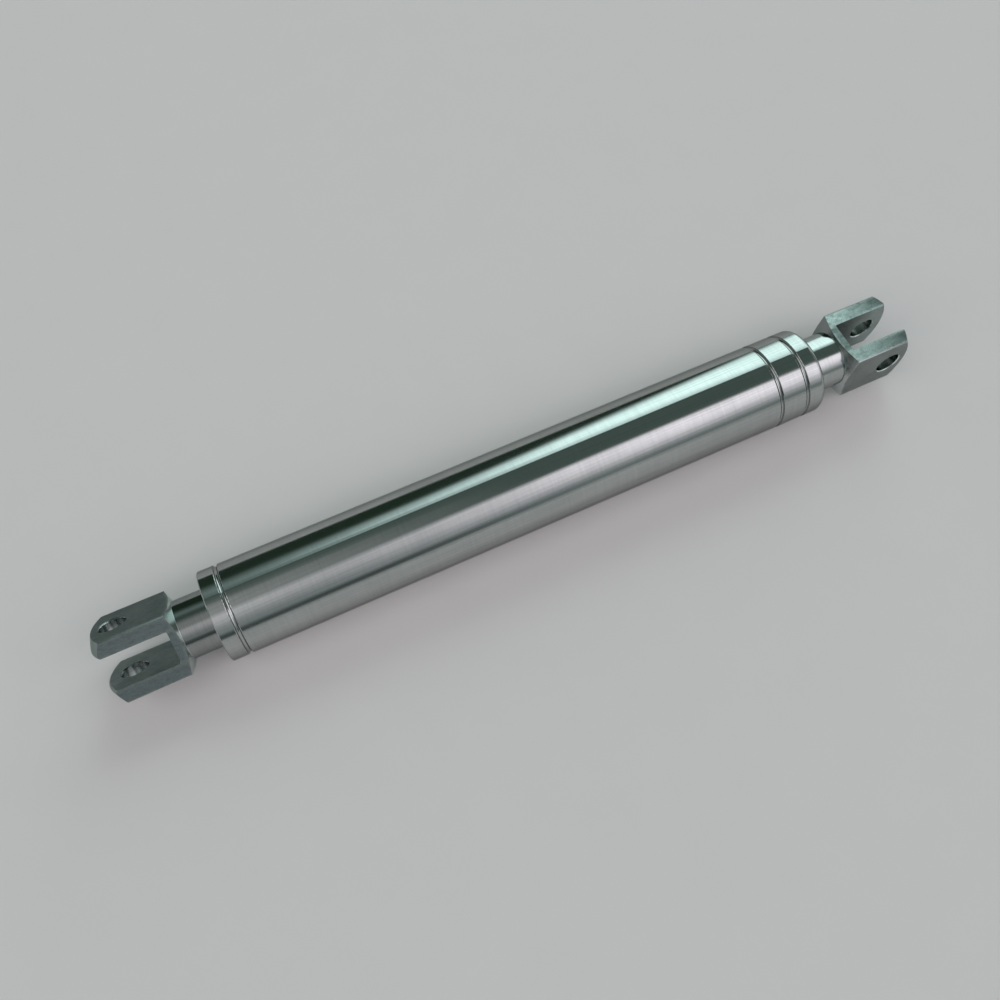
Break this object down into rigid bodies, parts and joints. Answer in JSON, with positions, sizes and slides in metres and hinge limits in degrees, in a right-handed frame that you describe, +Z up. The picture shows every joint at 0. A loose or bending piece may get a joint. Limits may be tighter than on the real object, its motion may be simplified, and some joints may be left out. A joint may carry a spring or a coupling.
{
  "type": "tension gas spring",
  "caption": "Tension gas spring drawn in: a steel cylinder with rolled grooves and a square milled fork with a cross pin hole on each end; the rod slides out and turns.",
  "frame": {"origin": "centre of the pin hole of the fork on the tube's closed end, half way between its two prongs", "axes": "+X along the spring's axis from the closed end to the rod end; the rod fork's pin lies along Y; +Z up"},
  "size_m": [0.2696, 0.028, 0.028],
  "materials": {
    "tube_steel": "satin, drawn tube with fine lengthwise lines",
    "fork_steel": "milled and zinc plated, dull",
    "plug_steel": "turned, zinc plated",
    "rod_chrome": "ground and hard chromed",
    "guide_aluminium": "turned",
    "bearing_bronze": "dry bearing, dull",
    "filter_bronze": "sintered",
    "seal_rubber": "matt black",
    "band_plastic": "filled slide plastic",
    "felt": "greased felt"
  },
  "bodies": {
    "tube": {"cylinder_tube": "tube_steel", "end_plug": "plug_steel", "vent_filter": "filter_bronze", "plug_o_ring": "seal_rubber", "tube_fork": "fork_steel", "rod_guide": "guide_aluminium", "guide_o_ring": "seal_rubber", "rod_bearing": "bearing_bronze", "rod_seal": "seal_rubber", "seal_washer": "plug_steel", "front_guide": "guide_aluminium", "grease_felt": "felt", "wiper_ring": "seal_rubber"},
    "piston_rings": {"piston_seal": "seal_rubber", "piston_guide_band": "band_plastic"},
    "rod": {"piston_rod": "rod_chrome", "piston": "guide_aluminium", "piston_washer": "plug_steel", "piston_nut": "plug_steel", "stop_sleeve": "guide_aluminium", "rod_fork": "fork_steel"}
  },
  "joints": [
    {"name": "rod_slide", "type": "slide", "parent": "tube", "child": "piston_rings", "axis": [1, 0, 0], "range_m": [0, 0.07], "stiffness_N_per_m": 430, "springref_m": -0.35},
    {"name": "rod_spin", "type": "hinge", "parent": "piston_rings", "child": "rod", "pos_m": [0.254, 0, 0], "axis": [1, 0, 0], "continuous": true}
  ]
}
